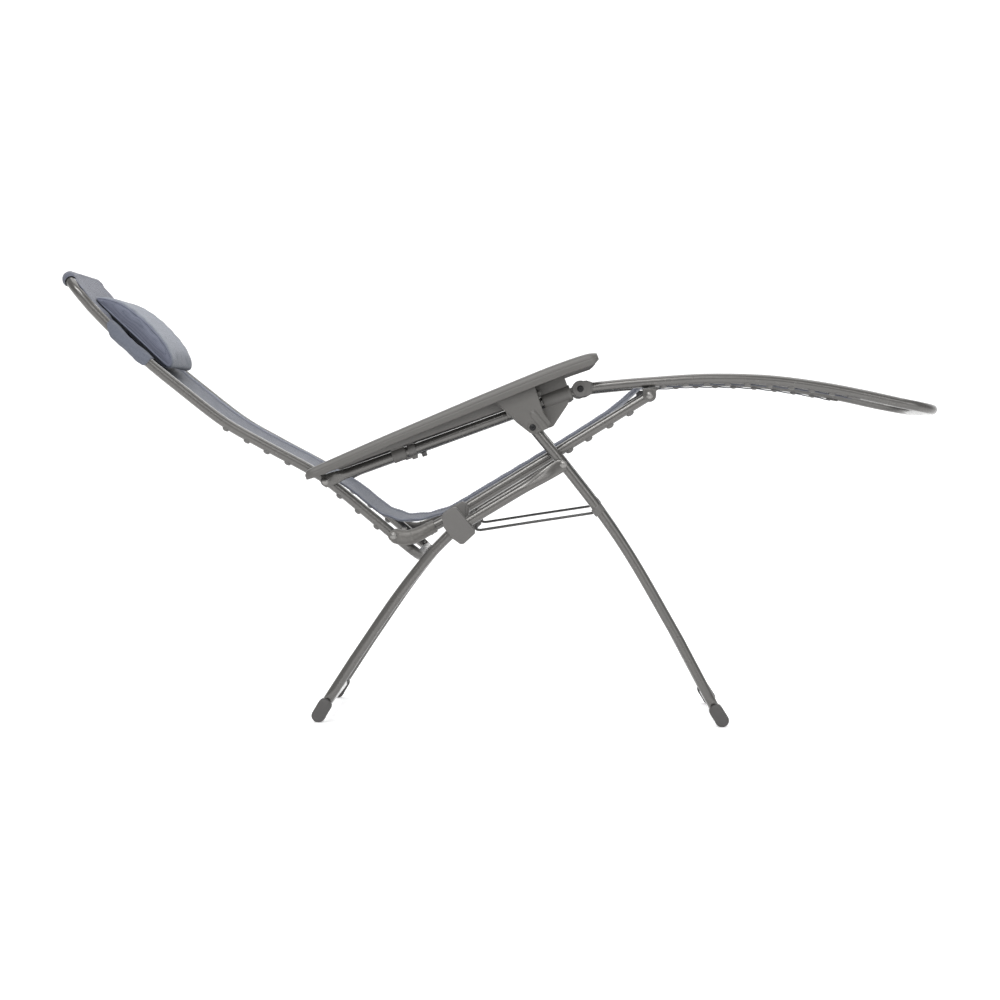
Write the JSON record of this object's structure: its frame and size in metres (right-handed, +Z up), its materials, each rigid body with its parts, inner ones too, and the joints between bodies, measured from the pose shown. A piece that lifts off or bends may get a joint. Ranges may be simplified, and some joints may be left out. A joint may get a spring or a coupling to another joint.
{
  "type": "zero gravity recliner",
  "caption": "Folding zero gravity lounge chair with a steel tube frame, mesh sling, headrest pillow, plastic armrests and a linked back and leg rest that tilt together.",
  "frame": {"origin": "on the floor, midway along the length and on the plane of symmetry", "axes": "+Z up, +X towards the leg rest end, +Y to the left of a person sitting in it"},
  "size_m": [1.7143, 0.6816, 0.8671],
  "materials": {
    "tube_paint": "satin taupe grey paint with a fine metallic flake",
    "cast_elbow": "lighter grey cast metal, satin",
    "dark_plastic": "matte taupe grey moulded plastic",
    "warm_plastic": "warm grey moulded plastic, fine texture",
    "bright_rivet": "bright domed steel",
    "black_screw": "black oxide, satin",
    "dark_rod": "dark grey satin wire",
    "sling_fabric": "woven blue grey mesh",
    "pillow_fabric": "woven blue grey mesh over padding"
  },
  "bodies": {
    "leg_base": {"rear_leg_frame": "tube_paint", "pivot_block_left": "dark_plastic", "pivot_block_right": "dark_plastic", "front_leg_rivet_left": "bright_rivet", "front_leg_rivet_right": "bright_rivet", "rear_foot_left": "dark_plastic", "rear_foot_right": "dark_plastic", "front_leg_frame": "tube_paint", "front_foot_left": "dark_plastic", "front_foot_right": "dark_plastic", "brace_collar_left": "dark_plastic", "brace_collar_right": "dark_plastic", "brace_rod_left": "dark_rod", "brace_rod_right": "dark_rod"},
    "seat": {"seat_pin_left": "bright_rivet", "seat_pin_right": "bright_rivet", "seat_rail_left": "tube_paint", "seat_rail_right": "tube_paint", "seat_block_left": "dark_plastic", "seat_block_right": "dark_plastic", "seat_elbow_left": "cast_elbow", "seat_elbow_right": "cast_elbow", "seat_sling": "sling_fabric"},
    "back": {"back_rivet_left": "bright_rivet", "back_rivet_right": "bright_rivet", "arm_rivet_left": "bright_rivet", "arm_rivet_right": "bright_rivet", "back_frame": "tube_paint", "back_sling": "sling_fabric", "headrest_pillow": "pillow_fabric", "top_hood": "sling_fabric"},
    "leg_rest": {"leg_rivet_left": "bright_rivet", "leg_rivet_right": "bright_rivet", "leg_rest_frame": "tube_paint", "leg_bracket_left": "tube_paint", "leg_bracket_right": "tube_paint", "leg_knuckle_left": "dark_plastic", "leg_knuckle_right": "dark_plastic", "knuckle_screw_left": "black_screw", "knuckle_screw_right": "black_screw", "leg_sling": "sling_fabric"},
    "arm_tubes": {"arm_tube_left": "tube_paint", "arm_tube_right": "tube_paint", "stop_clip_left": "dark_plastic", "stop_clip_right": "dark_plastic"},
    "armrests": {"rear_guide_left": "warm_plastic", "rear_guide_right": "warm_plastic", "front_bracket_left": "warm_plastic", "front_bracket_right": "warm_plastic", "bracket_screw_left": "black_screw", "bracket_screw_right": "black_screw", "arm_pad_left": "warm_plastic", "arm_pad_right": "warm_plastic"}
  },
  "joints": [
    {"name": "seat_tilt", "type": "hinge", "parent": "leg_base", "child": "seat", "pos_m": [-0.07, 0, 0.384], "axis": [0, 1, 0], "range_deg": [0, 12.07]},
    {"name": "recline", "type": "hinge", "parent": "seat", "child": "back", "pos_m": [-0.198, 0, 0.36], "axis": [0, 1, 0], "range_deg": [0, 15]},
    {"name": "leg_tilt", "type": "hinge", "parent": "seat", "child": "leg_rest", "pos_m": [0.294, 0, 0.639], "axis": [0, 1, 0], "range_deg": [0, 27.17]},
    {"name": "arm_tilt", "type": "hinge", "parent": "back", "child": "arm_tubes", "pos_m": [-0.333, 0, 0.464], "axis": [0, 1, 0], "range_deg": [-18.38, 0]},
    {"name": "armrest_slide", "type": "slide", "parent": "arm_tubes", "child": "armrests", "axis": [0.9356, 0, 0.353], "range_m": [-0.0738, 0]}
  ],
  "couplings": [
    {"joint": "seat_tilt", "follows": "recline", "ratio": 0.80307},
    {"joint": "leg_tilt", "follows": "recline", "ratio": 1.81},
    {"joint": "arm_tilt", "follows": "recline", "ratio": -1.2237},
    {"joint": "armrest_slide", "follows": "recline", "m_per_rad": -0.28063}
  ]
}
